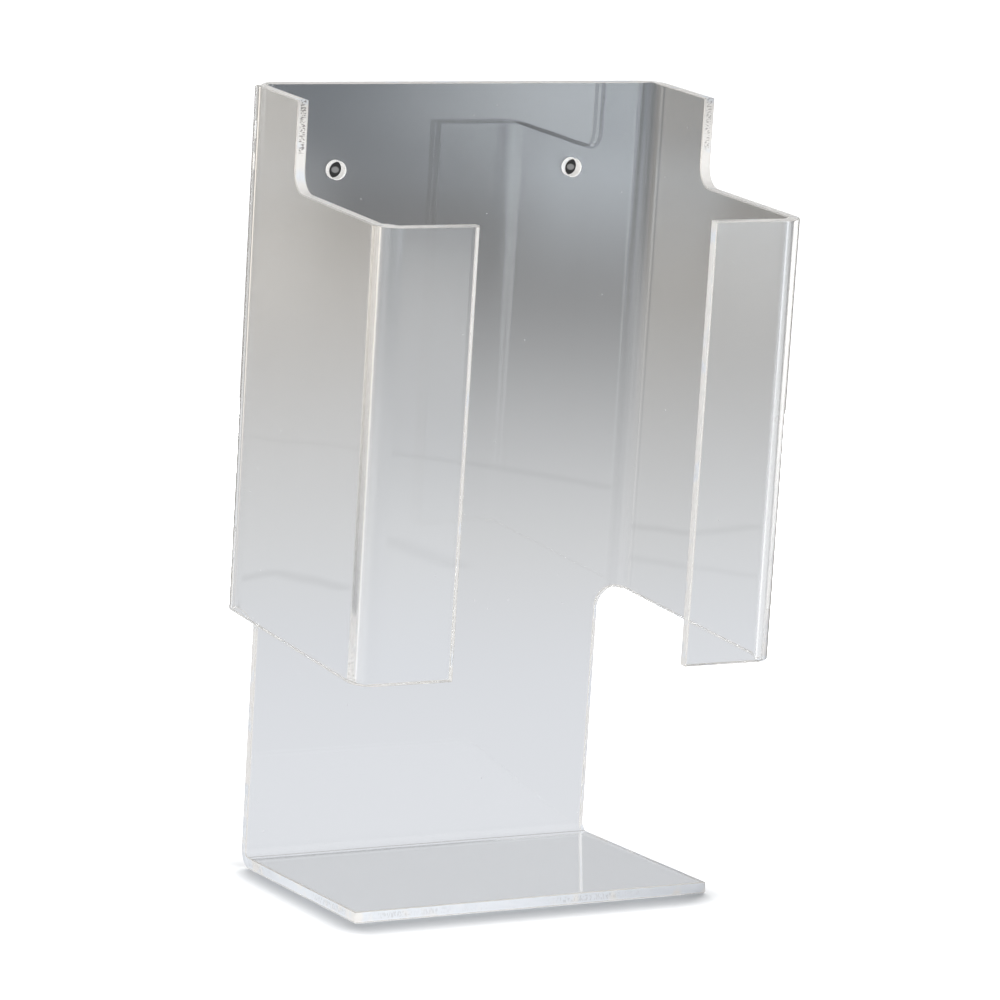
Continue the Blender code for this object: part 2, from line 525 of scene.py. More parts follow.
# %% The folding rule
def folding_rule():
    """A group that folds the sheet up along one line of its flat state."""
    tree = bpy.data.node_groups.new("fold_along_a_line", "GeometryNodeTree")
    face = tree.interface
    face.new_socket("Sheet", in_out="INPUT", socket_type="NodeSocketGeometry")
    face.new_socket("Away", in_out="INPUT", socket_type="NodeSocketVector")
    face.new_socket("Start", in_out="INPUT", socket_type="NodeSocketFloat")
    face.new_socket("Radius", in_out="INPUT", socket_type="NodeSocketFloat")
    face.new_socket("Turn", in_out="INPUT", socket_type="NodeSocketFloat")
    face.new_socket("Sheet", in_out="OUTPUT", socket_type="NodeSocketGeometry")
    g = Graph(tree)
    asked = g.node("NodeGroupInput")
    sheet, away, start, radius, turn = (Wire(g, asked.outputs[i]) for i in range(5))
    flat = g.wire("GeometryNodeInputNamedAttribute", {"data_type": "FLOAT_VECTOR"}, {"Name": "flat"})
    place = g.wire("GeometryNodeInputPosition")
    walked = g.maths("DOT_PRODUCT", flat, away) - start
    turned = g.maths("MINIMUM", g.maths("MAXIMUM", walked / radius, 0.0), turn)
    reach = g.maths("DOT_PRODUCT", place, away) - start
    height = g.split(place)[2]
    back = reach - radius * turned
    below = height - radius
    cosine = g.maths("COSINE", turned)
    sine = g.maths("SINE", turned)
    outward = back * cosine - below * sine - reach
    upward = back * sine + below * cosine + radius - height
    lift = g.wire("ShaderNodeCombineXYZ", None, {"Z": upward})
    moved = g.wire("GeometryNodeSetPosition", None, {"Geometry": sheet, "Offset": away * outward + lift})
    g.node("NodeGroupOutput", None, {0: moved})
    return tree


fold_rule = folding_rule()
print("folding rule:", len(fold_rule.nodes), "nodes")


# %% [markdown]
# ## The whole sheet in one tree
#
# The sheet's tree chains the rule, stands the folded sheet upright, moves
# it to the middle of its base and leans it. Every size is a named input,
# so the same tree would fold another holder from another blank.

# %% The sheet's own tree
def sheet_tree():
    """Fold five lines in order, stand the sheet up, lean it and give it its finish."""
    tree = bpy.data.node_groups.new("fold_the_sheet", "GeometryNodeTree")
    face = tree.interface
    face.new_socket("Sheet", in_out="INPUT", socket_type="NodeSocketGeometry")
    for name, fold, away in FOLD_ORDER:
        for size in ("start", "radius", "turn"):
            face.new_socket(name + " " + size, in_out="INPUT", socket_type="NodeSocketFloat")
    for name in ("Half thickness", "Lean", "Heel to middle"):
        face.new_socket(name, in_out="INPUT", socket_type="NodeSocketFloat")
    face.new_socket("Finish", in_out="INPUT", socket_type="NodeSocketMaterial")
    face.new_socket("Sheet", in_out="OUTPUT", socket_type="NodeSocketGeometry")
    g = Graph(tree)
    asked = g.node("NodeGroupInput")
    wires = {socket.name: Wire(g, socket) for socket in asked.outputs if socket.name}
    shape = wires["Sheet"]
    for name, fold, away in FOLD_ORDER:
        shape = g.wire("GeometryNodeGroup", {"node_tree": fold_rule},
                       {"Sheet": shape, "Away": away, "Start": wires[name + " start"],
                        "Radius": wires[name + " radius"], "Turn": wires[name + " turn"]})
    behind = g.wire("ShaderNodeCombineXYZ", None, {"Y": 0.0 - wires["Half thickness"]})
    upright = g.wire("GeometryNodeTransform", None,
                     {"Geometry": shape, "Translation": behind, "Rotation": (QUARTER_TURN, 0.0, 0.0)})
    centred = g.wire("ShaderNodeCombineXYZ", None, {"Y": wires["Heel to middle"]})
    tilt = g.wire("ShaderNodeCombineXYZ", None, {"X": wires["Lean"]})
    standing = g.wire("GeometryNodeTransform", None,
                      {"Geometry": upright, "Translation": centred, "Rotation": tilt})
    real = g.wire("GeometryNodeRealizeInstances", None, {"Geometry": standing})
    finished = g.wire("GeometryNodeSetMaterial", None, {"Geometry": real, "Material": wires["Finish"]})
    g.node("NodeGroupOutput", None, {0: finished})
    return tree


sheet_folds = sheet_tree()
print("sheet tree:", len(sheet_folds.nodes), "nodes")


# %% [markdown]
# ## Clear acrylic
#
# Acrylic is glass-clear with a refractive index of 1.49, so most of its
# look is geometry: what it bends, mirrors and lets through. Four finishes
# meet on one sheet. The faces keep their factory polish, with a very faint
# ripple and a few specks of dust, and turn slightly hazy in the bends,
# where they were heated; a painted tan shade darkens the bends where they
# turn away from view. The sawn walls scatter light from both sides,
# from the room and from inside the sheet, so they glow white; we mix an
# ordinary white surface with a translucent one, and lay saw marks over it,
# with a painted cool light towards the foot. The eased arris between them
# is half clear, tinted grey as a painted dark line, and half worn to cream,
# and the holes' rims are white. Lamps' rays pass almost unhindered, because
# a clear sheet casts only a pale shadow, and its edges a darker one.

# %% Polished faces
ACRYLIC_IOR = 1.49
FACE_TINT = (0.99, 0.995, 1.0, 1.0)
RIPPLE_SCALE = 22.0          # waves in a metre, as every scale of this kind here
RIPPLE_DETAIL = 1.0
RIPPLE_STRENGTH = 0.3
RIPPLE_HEIGHT = 0.1 * MM
BEND_HAZE = 0.16
DUST_GREY = (0.9, 0.9, 0.9, 1.0)
DUST_CELLS = 110.0
DUST_SIZE = 0.024
DUST_SHARE = 0.6
# Painted shade: a dark tan laid on the bends where they turn away from view, standing in for their dark
# outline
PAINTED_OUTLINE_SHADE = (0.25, 0.23, 0.21, 1.0)
PAINTED_OUTLINE_SHARE = 0.75
PAINTED_OUTLINE_TURN = (0.55, 0.8)


def polished_faces(g, flat, bend):
    """Clear polish with a faint ripple, dust and haze, and a painted tan shade where the bends turn away from
    view.
    """
    ripple = g.wire("ShaderNodeTexNoise", None,
                    {"Vector": flat, "Scale": RIPPLE_SCALE, "Detail": RIPPLE_DETAIL})
    ripples = g.wire("ShaderNodeBump", None, {"Strength": RIPPLE_STRENGTH, "Distance": RIPPLE_HEIGHT,
                                              "Height": ripple * (1.0 - bend)})
    polish = g.wire("ShaderNodeBsdfPrincipled", None,
                    {"Base Color": FACE_TINT, "Roughness": bend * BEND_HAZE, "IOR": ACRYLIC_IOR,
                     "Transmission Weight": 1.0, "Normal": ripples})
    cells = g.wire("ShaderNodeTexVoronoi", None, {"Vector": flat, "Scale": DUST_CELLS})
    speck = g.wire("ShaderNodeBsdfDiffuse", None, {"Color": DUST_GREY})
    dusty = g.mix(g.maths("LESS_THAN", cells, DUST_SIZE) * DUST_SHARE, polish, speck)
    turned_away = g.wire("ShaderNodeLayerWeight", None, None, output="Facing")
    outside = 1.0 - g.wire("ShaderNodeNewGeometry", None, None, output="Backfacing")
    # Painted shade on the outer side of the bends, strongest where they turn away from view
    outline_shade_share = PAINTED_OUTLINE_SHARE * bend * outside * g.smooth(turned_away, *PAINTED_OUTLINE_TURN)
    outline = g.wire("ShaderNodeBsdfDiffuse", None, {"Color": PAINTED_OUTLINE_SHADE})
    return g.mix(outline_shade_share, dusty, outline)


print("acrylic's index:", ACRYLIC_IOR)

# %% Sawn walls
WALL_WARM = (0.99, 0.965, 0.93, 1.0)
WALL_COOL = (0.92, 0.945, 0.98, 1.0)
WALL_ROUGHNESS = 0.45
WALL_GLOW = 0.55
DRIFT_SCALE = 140.0
DRIFT_DETAIL = 2.0
DRIFT_TURN = (0.42, 0.6)
# Painted light: the walls turn cooler towards the foot, standing in for the bluish light of the paper there
PAINTED_COOL_FOOT = (-0.02, 0.12)    # heights in metres between which the cool share fades
PAINTED_COOL_GAIN = 0.2
SAW_MARK = (0.30, 0.275, 0.26, 1.0)
CHATTER_SCALE = 2600.0
CHATTER_DETAIL = 1.0
CHATTER_STRETCH = (1.0, 1.0, 0.45)
CHATTER_TURN = (0.47, 0.62)
CHATTER_STRENGTH = 0.2
CHATTER_DEPTH = 0.05 * MM
PATCH_SCALE = 45.0
PATCH_TURN = (0.45, 0.64)
PATCH_PLACE = (0.3, 0.0, 0.0)
PATCH_MARKS = 0.28
CREST_MARKS = 0.55
LEFT_CREST_MARKS = 0.4
CREST_WALL = (CREST_EDGE - MM, CREST_EDGE - 0.5 * MM)
CREST_START = (SHOULDER_HEIGHT + 9.0 * MM, SHOULDER_HEIGHT + 12.0 * MM)
MARKED_MIDDLE = (0.5 * MM, 1.1 * MM)


def saw_marks(g, flat, chatter):
    """How dark the saw's marks are: in patches on the base, and all along the two crests."""
    across, height, depth = g.split(flat)
    patches = g.wire("ShaderNodeTexNoise", None, {"Vector": flat + PATCH_PLACE, "Scale": PATCH_SCALE})
    on_base = g.smooth(patches, *PATCH_TURN) * g.maths("LESS_THAN", height, 0.0)
    on_crest = g.smooth(g.maths("ABSOLUTE", across), *CREST_WALL) * g.smooth(height, *CREST_START)
    on_crest = on_crest * (CREST_MARKS + LEFT_CREST_MARKS * g.maths("LESS_THAN", across, 0.0))
    middle = g.fade(g.maths("ABSOLUTE", depth), *MARKED_MIDDLE)
    return g.smooth(chatter, *CHATTER_TURN) * middle * (PATCH_MARKS * on_base + on_crest)


def sawn_walls(g, flat):
    """White scattering walls with a random cool tone, a painted cool light towards the foot, and saw marks.
    """
    height = g.split(flat)[1]
    drift = g.wire("ShaderNodeTexNoise", None, {"Vector": flat, "Scale": DRIFT_SCALE, "Detail": DRIFT_DETAIL})
    # A random cool tone, plus the painted cool light towards the foot
    cool_tone_and_foot_light = drift + g.fade(height, *PAINTED_COOL_FOOT) * PAINTED_COOL_GAIN - PAINTED_COOL_GAIN / 2
    cool = g.smooth(cool_tone_and_foot_light, *DRIFT_TURN)
    chatter = g.wire("ShaderNodeTexNoise", None,
                     {"Vector": flat * CHATTER_STRETCH, "Scale": CHATTER_SCALE,
                      "Detail": CHATTER_DETAIL})
    marks = saw_marks(g, flat, chatter)
    colour = g.blend(marks, g.blend(cool, WALL_WARM, WALL_COOL), SAW_MARK)
    nicks = g.wire("ShaderNodeBump", None,
                   {"Strength": CHATTER_STRENGTH, "Distance": CHATTER_DEPTH, "Height": chatter})
    skin = g.wire("ShaderNodeBsdfPrincipled", None,
                  {"Base Color": colour, "Roughness": WALL_ROUGHNESS, "IOR": ACRYLIC_IOR, "Normal": nicks})
    # The glow takes the same colours as a mix of three plain shaders
    warm_glow, cool_glow, marked_glow = (g.wire("ShaderNodeBsdfTranslucent", None, {"Color": tint})
                                         for tint in (WALL_WARM, WALL_COOL, SAW_MARK))
    glow = g.mix(marks, g.mix(cool, warm_glow, cool_glow), marked_glow)
    return g.mix(WALL_GLOW, skin, glow)


print("saw marks start", round(CREST_START[0] / MM, 1), "mm up the blank")

# %% Arrises and the whole sheet
# Painted shade: a grey tint on the clear half of the arris, which draws a thin dark line along every edge
ARRIS_PAINTED_SHADE = (0.78, 0.76, 0.73, 1.0)
ARRIS_ROUGHNESS = 0.12
ARRIS_CREAM = (0.90, 0.865, 0.81, 1.0)
ARRIS_SHARE = 0.5
RIM_COLOUR = (0.97, 0.955, 0.93, 1.0)
FACE_SHADOW = (0.98, 0.985, 0.99, 1.0)
WALL_SHADOW = (0.12, 0.13, 0.15, 1.0)


def eased_arrises(g, edge):
    """Half clear with a painted grey shade and half cream on the sheet's outline, white on the holes' rims.
    """
    # The clear half carries the painted grey shade
    clear = g.wire("ShaderNodeBsdfPrincipled", None,
                   {"Base Color": ARRIS_PAINTED_SHADE, "Roughness": ARRIS_ROUGHNESS, "IOR": ACRYLIC_IOR,
                    "Transmission Weight": 1.0})
    cream = g.wire("ShaderNodeBsdfDiffuse", None, {"Color": ARRIS_CREAM})
    cream_glow = g.wire("ShaderNodeBsdfTranslucent", None, {"Color": ARRIS_CREAM})
    worn = g.mix(ARRIS_SHARE, clear, g.mix(WALL_GLOW, cream, cream_glow))
    white_rim = g.wire("ShaderNodeBsdfDiffuse", None, {"Color": RIM_COLOUR})
    return g.mix(g.maths("GREATER_THAN", edge, (RIM_ZONE + ARRIS_ZONE) / 2), white_rim, worn)


def clear_acrylic():
    """One material for the whole sheet, chosen by zone."""
    material = bpy.data.materials.new("clear_acrylic")
    g = empty_graph(material)
    edge = g.wire("ShaderNodeAttribute", {"attribute_name": "edge"}, output="Fac")
    bend = g.wire("ShaderNodeAttribute", {"attribute_name": "bend"}, output="Fac")
    flat = g.wire("ShaderNodeAttribute", {"attribute_name": "flat"}, output="Vector")
    on_edge = g.maths("GREATER_THAN", edge, (FACE_ZONE + RIM_ZONE) / 2)
    on_wall = g.maths("GREATER_THAN", edge, (ARRIS_ZONE + WALL_ZONE) / 2)
    worked = g.mix(on_wall, eased_arrises(g, edge), sawn_walls(g, flat))
    solid = g.mix(on_edge, polished_faces(g, flat, bend), worked)
    past_face, past_edge = (g.wire("ShaderNodeBsdfTransparent", None, {"Color": tint})
                            for tint in (FACE_SHADOW, WALL_SHADOW))
    through = g.mix(on_edge, past_face, past_edge)
    lamp_ray = g.wire("ShaderNodeLightPath", None, None, output="Is Shadow Ray")
    g.node("ShaderNodeOutputMaterial", None, {"Surface": g.mix(lamp_ray, solid, through)})
    return material


acrylic = clear_acrylic()
print("acrylic:", len(acrylic.node_tree.nodes), "nodes")

# %% [markdown]
# ## Folding it
#
# The tree's inputs are set by their identifiers before the object is first
# evaluated. The result is then frozen into a plain mesh. A weighted normal
# pass lets the big flat faces decide the shading where a flat meets a fold,
# so reflections stay straight right up to the bend.


# %% Fold the sheet
FLAT_WEIGHT = 100            # how much the large faces decide the shading


def folded_sheet():
    """Run the tree on the blank and keep the result as a plain mesh."""
    draft = bpy.data.objects.new("sheet_draft", sheet_mesh)
    bpy.context.scene.collection.objects.link(draft)
    run = draft.modifiers.new("folds", "NODES")
    run.node_group = sheet_folds
    values = {"Half thickness": SHEET_THICKNESS / 2, "Lean": PANEL_LEAN,
              "Heel to middle": BASE_DEPTH / 2, "Finish": acrylic}
    for name, fold, away in FOLD_ORDER:
        values[name + " start"] = fold.start
        values[name + " radius"] = fold.radius
        values[name + " turn"] = fold.turn
    for item in sheet_folds.interface.items_tree:
        if item.in_out == "INPUT" and item.name in values:
            run[item.identifier] = values[item.name]
    even = draft.modifiers.new("even_shading", "WEIGHTED_NORMAL")
    even.keep_sharp = True
    even.weight = FLAT_WEIGHT
    graph = bpy.context.evaluated_depsgraph_get()
    mesh = bpy.data.meshes.new_from_object(draft.evaluated_get(graph), depsgraph=graph)
    mesh.name = "holder_sheet"
    bpy.data.objects.remove(draft, do_unlink=True)
    sheet = bpy.data.objects.new("holder_sheet", mesh)
    bpy.context.scene.collection.objects.link(sheet)
    return sheet


sheet = folded_sheet()
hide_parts(SHEET_NODE)
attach(sheet, "root")
print("folded sheet:", len(sheet.data.polygons), "faces", [round(v / MM, 1) for v in sheet.dimensions], "mm")

# %% [markdown]
# ## What a clear sheet shows
#
# Clear plastic has no look of its own: it shows what stands behind it and
# what stands where its faces mirror. The photograph was cut out on white,
# yet its sheet still shows the studio: pale paper round the foot that falls
# off to grey behind, joins in that paper, a warm wall to the left rear, and
# a room, a window and a large softbox on the photographer's side. So the
# floor and the world answer the camera's own rays with plain white, and
# keep the soft shadow. They answer the sheet's mirrored and refracted rays
# with that studio, painted on the same floor in metres from the holder.
#
# A face of clear plastic mirrors only a fourteenth of what is before it,
# so the front of the studio has to be far brighter than paper. Seen
# straight through the sheet it would burn out to white. The path of a ray
# tells the two apart: it has a glossy depth as soon as a face has mirrored
# it, and a ray without one is given only a share of the front.
#
# Through the screw holes the camera looks past the sheet. What it sees
# there is dark, so two patches of the far floor are dark as well.

# %% Places on the floor
WHITE = (1.0, 1.0, 1.0, 1.0)
BLACK = (0.0, 0.0, 0.0, 1.0)
REAR_TURN = (0.0, 0.3)       # shares of behind to distance, between which the rear begins
FRONT_TURN = (0.0, 0.4)
THROUGH_SHARE = 0.12         # of the front's light, for rays that no face has mirrored


class Landing:
    """The point of the floor that a ray reaches, as wires in metres and as headings."""

    def __init__(self, g, place, mirrored):
        self.place = place
        self.across, self.behind = g.split(place)[:2]
        self.away = g.maths("LENGTH", place) + MM
        self.side = self.across / self.away
        self.left = 0.0 - self.side
        self.rear = g.smooth(self.behind / self.away, *REAR_TURN)
        self.lit = THROUGH_SHARE + (1.0 - THROUGH_SHARE) * mirrored
        self.front = self.lit * g.smooth(0.0 - self.behind / self.away, *FRONT_TURN)


def floor_seen_at(x, y):
    """The point of the floor that the camera sees at this pixel of the square picture."""
    half = PICTURE_SIZE / 2
    sight = Vector((x - half, half - y, -LENS_MM / SENSOR_MM * PICTURE_SIZE))
    sight.rotate(camera.rotation_quaternion)
    return camera.location - sight * (camera.location.z / sight.z)


print("floor seen at the picture's middle:", [round(v, 2) for v in floor_seen_at(500, 500)], "m")

# %% [markdown]
# ### Paper round the foot
#
# The paper is brightest at the foot and falls off with distance. It was
# laid in sheets, and the joins show through the wings and the panel as
# thin darker lines. Each join is written where the camera sees it, in
# pixels, and is turned into a stroke on the floor.

# %% Paper round the foot
NEAR_PAPER = (0.965, 0.985, 1.025, 1.0)
PAPER_FURTHER_OFF = (0.975, 0.985, 0.995, 1.0)
FURTHER_OFF = (0.3, 0.7)     # metres
PAPER_NEAR = 0.76
PAPER_HALF = 1.15            # metres, where its light has fallen to a half
PAPER_FALLOFF = 2.4
SEAM_WIDTH = 0.012           # metres
# How dark each join is, and its corners in the picture's pixels.
SEAMS_IN_VIEW = ((0.07, ((245, 436), (355, 447), (490, 465), (608, 487))),
                 (0.12, ((242, 577), (282, 572), (345, 586))),
                 (0.07, ((385, 538), (450, 565))),
                 (0.09, ((632, 524), (695, 534), (757, 525))),
                 (0.06, ((632, 556), (690, 566), (757, 574))))


def near_stroke(g, place, start, end):
    """1 on the straight stroke from start to end, fading to 0 over the width of a seam."""
    run = end - start
    offset = place - start
    share = g.maths("DOT_PRODUCT", offset, run) / run.length_squared
    share = g.maths("MINIMUM", g.maths("MAXIMUM", share, 0.0), 1.0)
    along = g.wire("ShaderNodeVectorMath", {"operation": "SCALE"}, {0: run, "Scale": share})
    return g.fade(g.maths("LENGTH", offset - along), 0.0, SEAM_WIDTH)


def seams(g, land):
    """1 on whole paper, less on each of its joins."""
    whole = 1.0
    for depth, pixels in SEAMS_IN_VIEW:
        corners = [floor_seen_at(*pixel) for pixel in pixels]
        dark = 0.0
        for start, end in zip(corners, corners[1:]):
            dark = g.maths("MAXIMUM", dark, near_stroke(g, land.place, start, end))
        whole = whole - depth * dark
    return whole


def paper_layer(g, land):
    """The paper's colour and level."""
    level = PAPER_NEAR / (1.0 + g.maths("POWER", land.away / PAPER_HALF, PAPER_FALLOFF))
    return g.blend(g.smooth(land.away, *FURTHER_OFF), NEAR_PAPER, PAPER_FURTHER_OFF), level


print("joins in the paper:", len(SEAMS_IN_VIEW))

# %% [markdown]
# ### Walls behind and beside
#
# Behind the holder the paper meets a warm wall at the left and a paler,
# bluish far end, with one brighter wedge that shows in the right wing.
# What stands at the sides is seen only in the bends and in the edges.
# Every pair of numbers says where a tone starts and where it is complete,
# as a distance in metres or as a heading.

# %% Walls behind and beside
WARM_COLOUR = (1.0, 0.92, 0.81, 1.0)
WARM_LEVEL = 1.08
WARM_LEFT = (-0.1, 0.3)
WARM_REACH = (0.3, 1.9)
WARM_GAIN = 0.3
WARM_GAIN_REACH = (2.3, 3.6)
CORNER_LOSS = 0.2
CORNER_REACH = (1.9, 3.2)
CORNER_LEFT = (0.42, 0.48)
PALE_COLOUR = (0.88, 0.99, 1.11, 1.0)
FAR_LEVEL = 0.055
FAR_REACH = (2.15, 2.85)
WEDGE_LEVEL = 0.09
WEDGE_FROM = (0.435, 0.465)
WEDGE_TO = (0.50, 0.515)
WEDGE_REACH = (1.6, 2.4)
WEDGE_LOSS = 0.6
WEDGE_LOSS_REACH = (2.7, 3.4)
SIDE_COLOUR = (1.0, 0.97, 0.92, 1.0)
SIDE_LEVEL = 0.8
SIDE_TURN = (0.62, 0.85)
SIDE_REACH = (0.06, 0.4)
RIGHT_SHARE = 0.2


def warm_wall(g, land):
    """The wall at the left rear, a little darker in its corner and brighter far off."""
    corner = CORNER_LOSS * g.smooth(land.away, *CORNER_REACH) * g.smooth(land.left, *CORNER_LEFT)
    wall = WARM_LEVEL * land.rear * g.smooth(land.left, *WARM_LEFT) * g.smooth(land.away, *WARM_REACH)
    return wall * (1.0 - corner) * (1.0 + WARM_GAIN * g.smooth(land.away, *WARM_GAIN_REACH))


def pale_far_end(g, land):
    """The far end of the studio, with a brighter wedge at the right."""
    wedge = g.smooth(land.side, *WEDGE_FROM) * g.fade(land.side, *WEDGE_TO)
    wedge = wedge * g.smooth(land.away, *WEDGE_REACH)
    wedge = wedge * (1.0 - WEDGE_LOSS * g.smooth(land.away, *WEDGE_LOSS_REACH))
    return land.rear * (WEDGE_LEVEL * wedge + FAR_LEVEL * g.smooth(land.away, *FAR_REACH))


def beside(g, land):
    """What stands at the two sides, weaker at the right."""
    both = g.smooth(land.left, *SIDE_TURN) + RIGHT_SHARE * g.smooth(land.side, *SIDE_TURN)
    return SIDE_LEVEL * both * land.lit * g.smooth(land.away, *SIDE_REACH)


print("walls: warm", WARM_LEVEL, "pale", FAR_LEVEL, "side", SIDE_LEVEL)

# %% [markdown]
# ### The photographer's side
#
# The panel and the lips mirror the front of the studio: a dim room, a
# bluish window light, a lighter patch on the left and a large softbox on
# the right. The panel mirrors the camera itself to a point behind it, and
# all mirrored lines of sight fan out from there. The softbox's borders are
# written as lines of that fan, which keeps them upright in the picture.

# %% The photographer's side
ROOM_TINT = (0.98, 0.985, 0.985, 1.0)
ROOM_LEVEL = 0.45
ROOM_REACH = (0.1, 0.4)
PATCH_LEVEL = 1.5
PATCH_REACH = (0.47, 0.7)
PATCH_END = (0.72, 0.92)
PATCH_FAN = (0.434, 0.456)
WINDOW_COLOUR = (0.80, 0.94, 1.12, 1.0)
WINDOW_LEVEL = 0.6
WINDOW_REACH = (0.65, 1.0)
FAN_CENTRE = (0.586, 1.27)   # the mirrored camera, in metres to the left and behind
FAN_LEFT = (0.440, 0.503)
FAN_RIGHT = (0.66, 0.8)
SOFTBOX_COLOUR = (0.95, 1.0, 1.035, 1.0)
SOFTBOX_LEVEL = 2.95
SOFTBOX_REACH = (0.58, 1.08)
SOFTBOX_NEARER = 0.3         # metres that its right part comes nearer
NEARER_FAN = (0.535, 0.56)
SOFTBOX_LATER = 0.01         # how far its left border leans
LATER_REACH = (0.82, 0.95)


def front_room(g, land, fan):
    """A dim room with a lighter patch at the left."""
    patch = g.smooth(land.away, *PATCH_REACH) * g.fade(land.away, *PATCH_END) * g.fade(fan, *PATCH_FAN)
    return land.front * (ROOM_LEVEL * g.smooth(land.away, *ROOM_REACH) + PATCH_LEVEL * patch)


def painted_softbox(g, land, fan):
    """A large softbox at the right."""
    later = SOFTBOX_LATER * g.fade(land.away, *LATER_REACH)
    inside = g.smooth(fan - later, *FAN_LEFT) * g.fade(fan, *FAN_RIGHT)
    nearer = SOFTBOX_NEARER * g.smooth(fan, *NEARER_FAN)
    return SOFTBOX_LEVEL * land.front * inside * g.smooth(land.away + nearer, *SOFTBOX_REACH)


def studio_for_the_sheet(g, place, mirrored):
    """Emission that stands for paper, walls, room, window and softbox, by place on the floor."""
    land = Landing(g, place, mirrored)
    fan = (land.across + FAN_CENTRE[0]) / (FAN_CENTRE[1] - land.behind)
    joins = seams(g, land)
    paper_colour, paper = paper_layer(g, land)
    window = WINDOW_LEVEL * land.front * g.smooth(land.away, *WINDOW_REACH)
    layers = [(paper_colour, paper * joins), (PALE_COLOUR, pale_far_end(g, land) * joins),
              (WARM_COLOUR, warm_wall(g, land) * joins), (SIDE_COLOUR, beside(g, land)),
              (ROOM_TINT, front_room(g, land, fan)), (WINDOW_COLOUR, window),
              (SOFTBOX_COLOUR, painted_softbox(g, land, fan))]
    total = None
    for colour, level in layers:
        glow = g.wire("ShaderNodeEmission", None, {"Color": colour, "Strength": level})
        total = glow if total is None else g.wire("ShaderNodeAddShader", None, {0: total, 1: glow})
    return total


print("softbox level:", SOFTBOX_LEVEL)

# %% [markdown]
# ### Through the screw holes
#
# A line from the camera through the middle of each hole meets the floor
# far behind. There we lay a dark patch, and a still darker border round
# the oval that the hole lets the camera see.

# %% Through the screw holes
HOLE_PATCH = (0.25, 0.014)   # half sizes in metres, along the sight and across it
HOLE_SIGHT = (0.034, 0.0029)
HOLE_DARKNESS = 0.80
HOLE_BORDER = 0.17
BORDER_TURN = (0.8, 1.35)


def floor_behind_hole(side):
    """Where the camera's sight through a screw hole meets the floor, and which way it runs."""
    lean = Matrix.Rotation(PANEL_LEAN, 3, "X")
    hole = lean @ Vector((side * HOLE_SPACING / 2, -SHEET_THICKNESS / 2, HOLE_HEIGHT))
    hole += Vector((0.0, BASE_DEPTH / 2, 0.0))
    sight = hole - camera.location
    return hole - sight * (hole.z / sight.z), Vector((sight.x, sight.y, 0.0)).normalized()


def behind_the_holes(g, place):
    """Darkness of the two far patches of floor that the camera sees through the screw holes."""
    dark = 0.0
    for side in (-1.0, 1.0):
        middle, along = floor_behind_hole(side)
        offset = place - middle
        far = g.maths("ABSOLUTE", g.maths("DOT_PRODUCT", offset, along))
        wide = g.maths("ABSOLUTE", g.maths("DOT_PRODUCT", offset, Vector((-along.y, along.x, 0.0))))
        patch = g.maths("LESS_THAN", g.maths("MAXIMUM", far / HOLE_PATCH[0], wide / HOLE_PATCH[1]), 1.0)
        out = g.maths("SQRT", g.maths("POWER", far / HOLE_SIGHT[0], 2.0)
                      + g.maths("POWER", wide / HOLE_SIGHT[1], 2.0))
        dark = dark + patch * (HOLE_DARKNESS + HOLE_BORDER * g.smooth(out, *BORDER_TURN))
    return dark


print("floor behind the holes:", [round(floor_behind_hole(side)[0].y, 2) for side in (-1.0, 1.0)], "m back")

# %% [markdown]
# ### The floor
#
# For the camera the floor is a white diffuse paper, which takes the
# shadow, plus a white glow that is switched off close to the foot. For
# the sheet's own rays it is the painted studio.

# %% Floor
FLOOR_RADIUS = 14.0          # metres
FLOOR_SEGMENTS = 96
FLOOR_GAP = 0.05 * MM
PAPER_WHITE = (0.64, 0.645, 0.65, 1.0)
FOOT_HALF = Vector((TONGUE_EDGE, BASE_DEPTH / 2, 0.0))
SHADOW_FADES = -2.0 * MM     # distances from the foot between which the shadow gives way to white
SHADOW_GONE = 29.0 * MM
SHADOW_NARROWING = (1.6, 1.0, 1.0)


def sheet_rays(g, rays):
    """1 for a ray that the sheet has mirrored or let through."""
    return g.maths("MAXIMUM", Wire(g, rays.outputs["Is Glossy Ray"]),
                   Wire(g, rays.outputs["Is Transmission Ray"]))


def mirrored_rays(g, rays):
    """1 for a ray that a face has mirrored at least once."""
    return g.maths("MINIMUM", Wire(g, rays.outputs["Glossy Depth"]), 1.0)


def floor_paper():
    """White to the camera with the shadow on it, and the studio to the sheet's rays."""
    material = bpy.data.materials.new("studio_paper")
    g = empty_graph(material)
    rays = g.node("ShaderNodeLightPath")
    place = g.wire("ShaderNodeTexCoord", None, None, output="Object")
    outside = g.maths("MAXIMUM", g.maths("ABSOLUTE", place) - FOOT_HALF, (0.0, 0.0, 0.0))
    from_foot = g.maths("LENGTH", outside * SHADOW_NARROWING)
    seen = 1.0 - behind_the_holes(g, place)
    paper = g.wire("ShaderNodeBsdfDiffuse", None, {"Color": g.blend(seen, BLACK, PAPER_WHITE)})
    lift = Wire(g, rays.outputs["Is Camera Ray"]) * g.smooth(from_foot, SHADOW_FADES, SHADOW_GONE) * seen
    white = g.wire("ShaderNodeEmission", None, {"Color": WHITE, "Strength": lift})
    shown = g.wire("ShaderNodeAddShader", None, {0: paper, 1: white})
    studio = studio_for_the_sheet(g, place, mirrored_rays(g, rays))
    g.node("ShaderNodeOutputMaterial", None, {"Surface": g.mix(sheet_rays(g, rays), shown, studio)})
    return material


